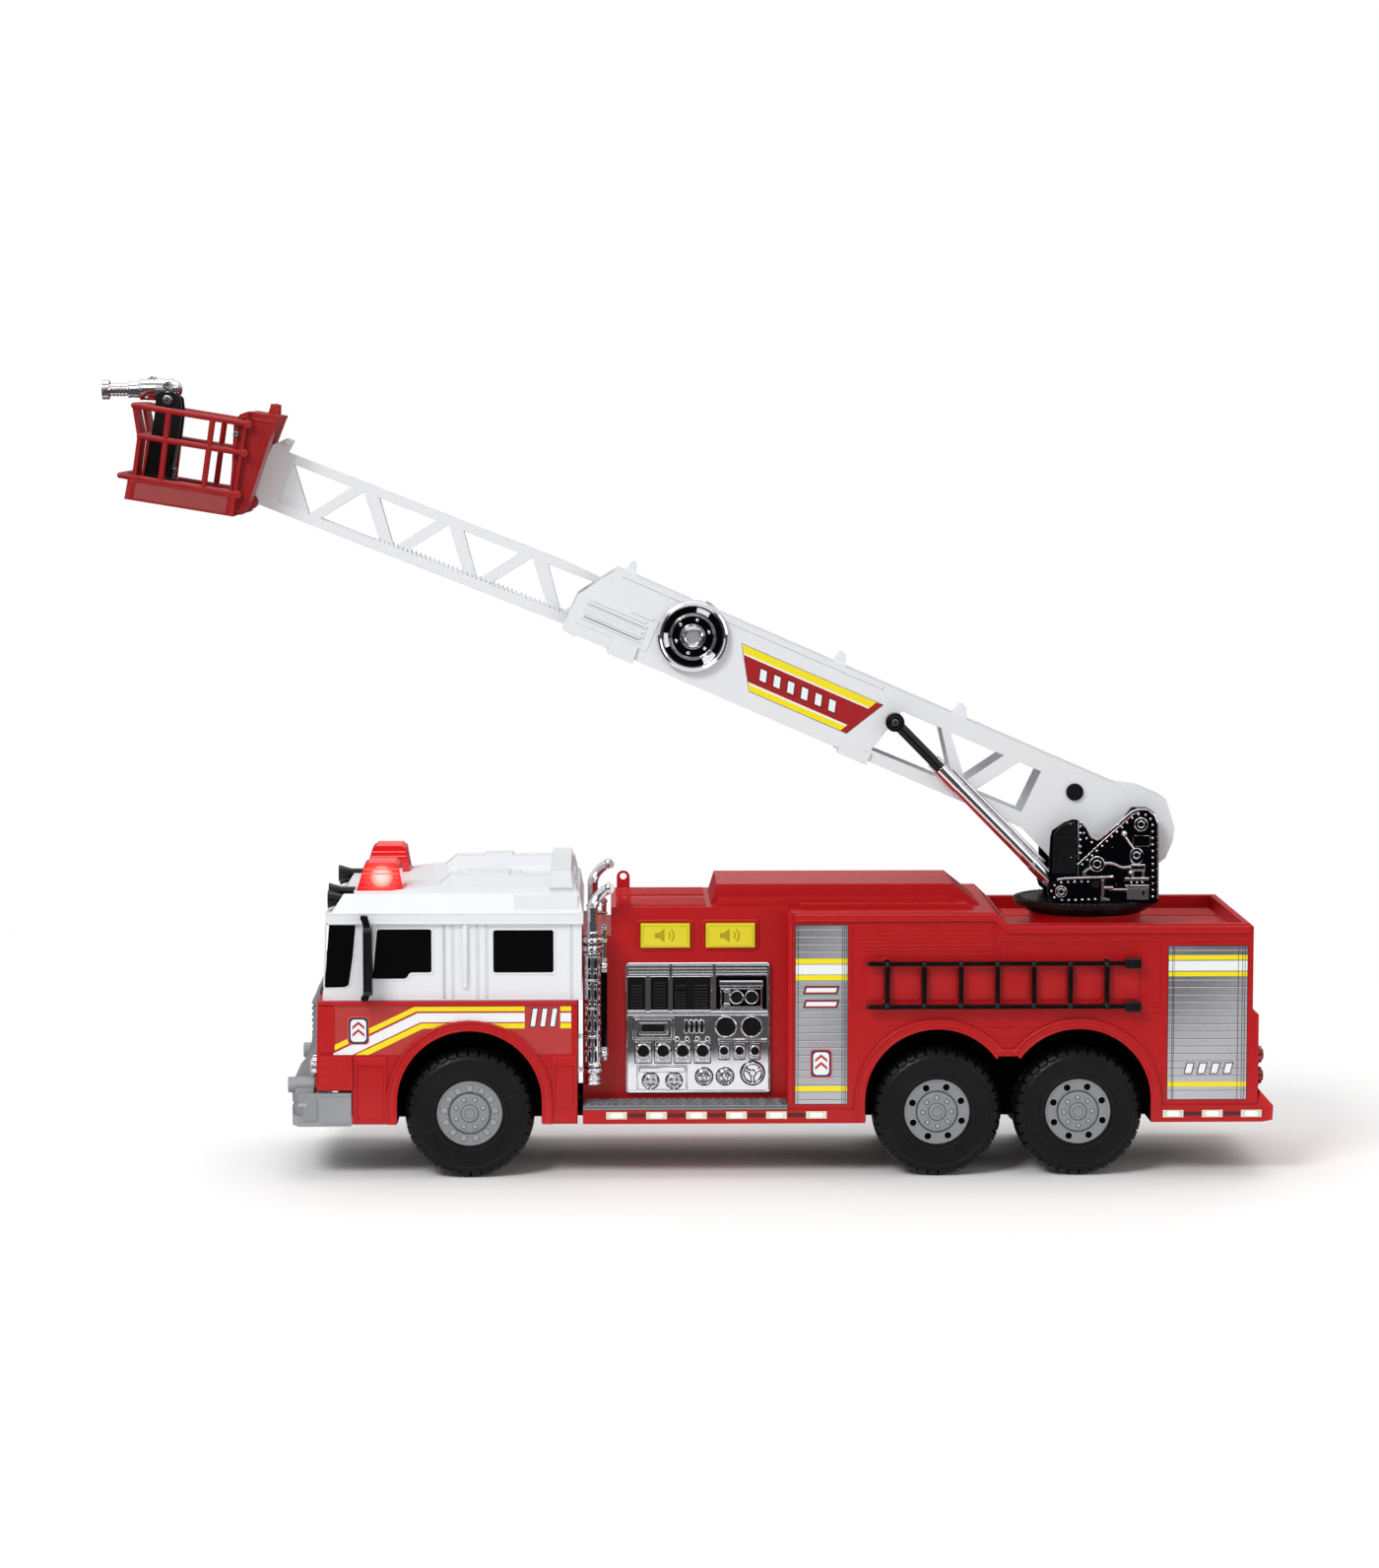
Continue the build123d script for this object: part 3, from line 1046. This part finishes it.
with BuildPart() as extension_ladder:
    slab_on(LADDER, LADDER_OUTLINE, -LADDER_Y, LADDER_Y)
    for window in LADDER_WINDOWS:
        slab_on(LADDER, window, -LADDER_Y - 1, LADDER_Y + 1, mode=CUT)
    # web set back above the wide bottom rail, which carries the rack
    for side in SIDES:
        block_on(LADDER, -20, 276.5, -17.0, 17.2, side * 5.5, side * (LADDER_Y + 1), mode=CUT)
        slab_on(LADDER, rack_outline(-14, 212, -19.0, -PINION_R), side * 5.5, side * LADDER_Y)
    # ear that reaches the basket hinge
    hinge = LADDER.to_local_coords(BASKET.from_local_coords(Vector(HINGE_X, HINGE_Z, 0)))
    slab_on(LADDER, [(286, -22.0), (290.5, -6.0), (hinge.X + 4.2, hinge.Y + 1.5),
                     (hinge.X + 2.8, hinge.Y - 3.4)], -3.6, 3.6)
    for side in SIDES:
        disc_on(LADDER, hinge.X, hinge.Y, 5.0, side * 3.6, side * 9.0, mode=CUT)
    disc_on(LADDER, hinge.X, hinge.Y, 4.6, -3.6, 3.6)
    disc_on(LADDER, hinge.X, hinge.Y, 2.06, -9, 9, mode=CUT)
    # hook crossbar at the tip
    disc_on(LADDER, 284.0, 20.6, 1.9, -12.5, 12.5)
save(extension_ladder, "extension_ladder")

# ============================================================================
# HYDRAULIC CYLINDERS (moulded, sliding)
# ============================================================================
CYLINDER_RUN = Vector(EYE_X - BARREL_X, 0, EYE_Z - BARREL_Z)
CYLINDER_DIR = CYLINDER_RUN.normalized()
CYLINDER_UP = Vector(CYLINDER_DIR.Z, 0, -CYLINDER_DIR.X)    # square to it, up and rearward


def on_cylinder(distance, y):
    """Point on a cylinder's centre line, measured from the lower pin."""
    return Vector(BARREL_X, y, BARREL_Z) + CYLINDER_DIR * distance


with BuildPart() as cylinder_barrels:
    for side in SIDES:
        y = side * CYLINDER_Y
        bar(on_cylinder(7.5, y), on_cylinder(109, y), 4.2)
        bar(on_cylinder(9.0, y), on_cylinder(24, y), 4.8)
        bar(on_cylinder(93, y), on_cylinder(110, y), 4.8)
        # eye for the lower pin, and its neck
        y0, y1 = side * 22.7, side * 29.6
        cyl_y(BARREL_X, BARREL_Z, 5.2, y0, y1)
        half = CYLINDER_UP * 4.2
        foot, top = on_cylinder(0, 0), on_cylinder(12, 0)
        corners = (foot - half, top - half, top + half, foot + half)
        slab([(corner.X, corner.Z) for corner in corners], y0, y1)
        # feed pipe along the upper flank
        pipe = CYLINDER_UP * 5.2
        bar(on_cylinder(20, y) + pipe, on_cylinder(104, y) + pipe, 1.5)
        for distance in (22, 98):
            centre = on_cylinder(distance, y)
            bar(centre, centre + pipe, 1.4)
        cyl_y(BARREL_X, BARREL_Z, 2.06, -35, 35, mode=CUT)
        bar(on_cylinder(24.5, y), on_cylinder(112, y), 3.46, mode=CUT)
save(cylinder_barrels, "cylinder_barrels")

with BuildPart() as cylinder_rods:
    for side in SIDES:
        y = side * CYLINDER_Y
        bar(on_cylinder(54.0, y), on_cylinder(CYLINDER_RUN.length - 3, y), 3.4)
        cyl_y(EYE_X, EYE_Z, 6.0, side * (BOOM_Y + 0.8), side * 29.0)
        # screw head on the eye
        cyl_y(EYE_X, EYE_Z, 2.6, side * 28.9, side * 29.8)
save(cylinder_rods, "cylinder_rods")

# ============================================================================
# BASKET, local frame: x forward along the floor, y up, z = +Y of the truck
# ============================================================================
SLOT_Y = 9.4               # half width of the slot for the ladder
RAIL_R = 1.9
RAIL_Y = BASKET_HALF - RAIL_R
FLOOR_TOP = 13.6
TOP_RAIL = 58.8
RAILS = ((14.2, 74.0), (40.4, 65.6), (TOP_RAIL, 72.0))     # (height, front end)
POSTS = ((48.3, 49.8), (21.1, 22.0))                       # (x at the foot, x at the top)
FRONT_PANEL = [
    (64.0, 13.0), (66.4, 13.0), (66.8, 40.4), (73.0, 58.8), (71.0, 58.8), (64.6, 41.0),
]
HOUSING_BACK = [(-4.6, 1.9), (-7.7, 7.5), (-14.6, 49.6), (-18.2, 66.6)]
HOUSING_INNER = [
    (2.0, 0.0), *HOUSING_BACK, (1.0, 66.6), (6.0, 64.0), (8.0, 58.0), (2.2, 40.0),
]
HOUSING_OUTER = [
    (4.0, 0.0), *HOUSING_BACK, (1.0, 66.6), (6.0, 64.0), (9.0, 58.0), (6.0, 30.0),
]
REAR_WALL = [*HOUSING_BACK, (-16.0, 66.6), (-12.4, 49.6), (-5.6, 8.0), (-2.6, 3.0)]


def in_basket(x, height, y):
    return BASKET.from_local_coords(Vector(x, height, y))


with BuildPart() as basket:
    # floor and skirt
    block_on(BASKET, 0, 69, 11.5, FLOOR_TOP, -BASKET_HALF + 1, BASKET_HALF - 1)
    for side in SIDES:
        slab_on(BASKET, [(0.5, 0), (69, 0), (67.2, FLOOR_TOP), (0.5, FLOOR_TOP)],
                side * (BASKET_HALF - 2.0), side * BASKET_HALF)
    slab_on(BASKET, [(67.0, 0), (69.0, 0), (68.6, FLOOR_TOP), (66.4, FLOOR_TOP)],
            -BASKET_HALF, BASKET_HALF)
    block_on(BASKET, 0.0, 2.2, 0, FLOOR_TOP, -BASKET_HALF, BASKET_HALF)
    block_on(BASKET, -0.2, 3.0, 0.5, 22.0, -SLOT_Y, SLOT_Y, mode=CUT)
    # rails with round ends: floor, middle, top
    for height, front_x in RAILS:
        for side in SIDES:
            rear = in_basket(-0.6, height, side * RAIL_Y)
            front = in_basket(front_x, height, side * RAIL_Y)
            bar(rear, front, RAIL_R)
            for end in (front, rear):
                with Locations(Location((end.X, end.Y, end.Z))):
                    Sphere(RAIL_R)
        bar(in_basket(front_x, height, -RAIL_Y), in_basket(front_x, height, RAIL_Y), RAIL_R)
    for side in SIDES:
        for foot_x, top_x in POSTS:
            bar(in_basket(foot_x, 13, side * RAIL_Y),
                in_basket(top_x, TOP_RAIL, side * RAIL_Y), RAIL_R)
    # front panels that flare forward at the top, left open in the middle
    for side in SIDES:
        slab_on(BASKET, FRONT_PANEL, side * 12.0, side * (BASKET_HALF - 1.5))
    # rear housings on each side of the ladder slot
    for side in SIDES:
        slot_y = side * SLOT_Y
        slab_on(BASKET, HOUSING_INNER, slot_y, side * (SLOT_Y + 2.2))
        slab_on(BASKET, HOUSING_OUTER, side * 37.0, side * 39.2)
        # slanting rear wall, top and front wall
        slab_on(BASKET, REAR_WALL, slot_y, side * 39.2)
        slab_on(BASKET, [(-18.0, 64.6), (-18.2, 66.6), (1.0, 66.6), (2.0, 64.6)],
                slot_y, side * 39.2)
        block_on(BASKET, 0.2, 2.4, 12, 66, slot_y, side * (BASKET_HALF - 1.2))
        # hand hold
        slab_on(BASKET, [(-15.4, 66.0), (-14.6, 73.0), (-10.6, 73.4), (-9.6, 66.0)],
                side * 12.5, side * 17.5)
        # hinge lugs beside the ladder ear
        y0, y1 = side * 4.2, side * (SLOT_Y + 1)
        disc_on(BASKET, HINGE_X, HINGE_Z, 4.4, y0, y1)
        slab_on(BASKET, [(HINGE_X, HINGE_Z - 4.2), (3.0, 0.8), (3.0, 5.0),
                         (HINGE_X, HINGE_Z + 2.0)], y0, y1)
    # hinge pin
    disc_on(BASKET, HINGE_X, HINGE_Z, 2.0, -SLOT_Y, SLOT_Y)
save(basket, "basket")

FORK_ARM = [
    (-395.6, 483.0), (-395.2, 490.5), (-391.5, 493.6), (-384.0, 493.6), (-379.5, 490.0),
    (-378.6, 482.0), (-381.5, 462.0), (-399.0, 462.0),
]
with BuildPart() as monitor_pedestal:
    for side in SIDES:
        slab(FORK_ARM, side * 7.2, side * 10.4)
    # neck
    slab([(-399.0, 464.0), (-381.5, 464.0), (-386.5, 440.0), (-390.4, 438.4), (-403.6, 440.6)],
         -10.4, 10.4)
    # foot on the basket floor
    block_on(BASKET, 42.0, 62.4, 13.65, 16.4, -14.0, 14.0)
    slab_on(BASKET, [(60.6, 14.0), (45.2, 14.0), (44.5, 22.0), (58.5, 30.0)], -10.4, 10.4)
    cyl_y(NOZZLE_X, NOZZLE_Z, 2.06, -12, 12, mode=CUT)
save(monitor_pedestal, "monitor_pedestal")

BARREL_AXIS_Z = 495.2      # height of the nozzle's centre line
# (x, radius)
NOZZLE_PROFILE = [
    (-430.0, 0), (-430.0, 6.0), (-425.6, 6.0), (-424.8, 3.8), (-414.0, 3.8), (-413.2, 4.8),
    (-406.5, 5.2), (-405.5, 6.4), (-402.0, 6.6), (-396.0, 6.9), (-386.0, 6.6), (-381.5, 5.0),
    (-379.6, 2.4), (-379.2, 0),
]
with BuildPart() as monitor_nozzle:
    turned(Plane.XZ, NOZZLE_PROFILE, Axis.X, (0, 0, BARREL_AXIS_Z))
    # lower hub, pin and pin heads
    cyl_y(NOZZLE_X, NOZZLE_Z, 5.0, -6.6, 6.6)
    cyl_y(NOZZLE_X, NOZZLE_Z, 1.98, -11.4, 11.4)
    for side in SIDES:
        cyl_y(NOZZLE_X, NOZZLE_Z, 3.0, side * 10.7, side * 12.4)
    cyl_x(0, BARREL_AXIS_Z, 3.0, -432, -418, mode=CUT)
    # small block on top
    box(-399.5, -396.5, -1.5, 1.5, 500.5, 503.6)
save(monitor_nozzle, "monitor_nozzle")

# ============================================================================
# SIDE LADDERS (push onto four pegs)
# ============================================================================
RUNG_X = (66.1, 89.3, 112.5, 135.4, 158.4, 181.3, 204.3)


def side_ladder(side):
    # rails, rungs and rear end blocks
    box(54.8, 219.0, side * 80.6, side * 84.0, 135.2, 137.9)
    box(54.8, 219.0, side * 80.6, side * 84.0, 107.9, 110.6)
    for x in RUNG_X:
        cyl_z(x, side * 82.3, 1.6, 109, 137)
    for z in (136.6, 109.2):
        box(216.0, 225.7, side * 79.6, side * 85.0, z - 3.2, z + 3.2)
    # pegs with collars
    for x, z in PEG_PLACES:
        cyl_y(x, z, 1.5, side * 74.6, side * 81.0)
        cyl_y(x, z, 2.6, side * (FLARE + 0.1), side * 81.0)


save_pair(side_ladder, "side_ladder")
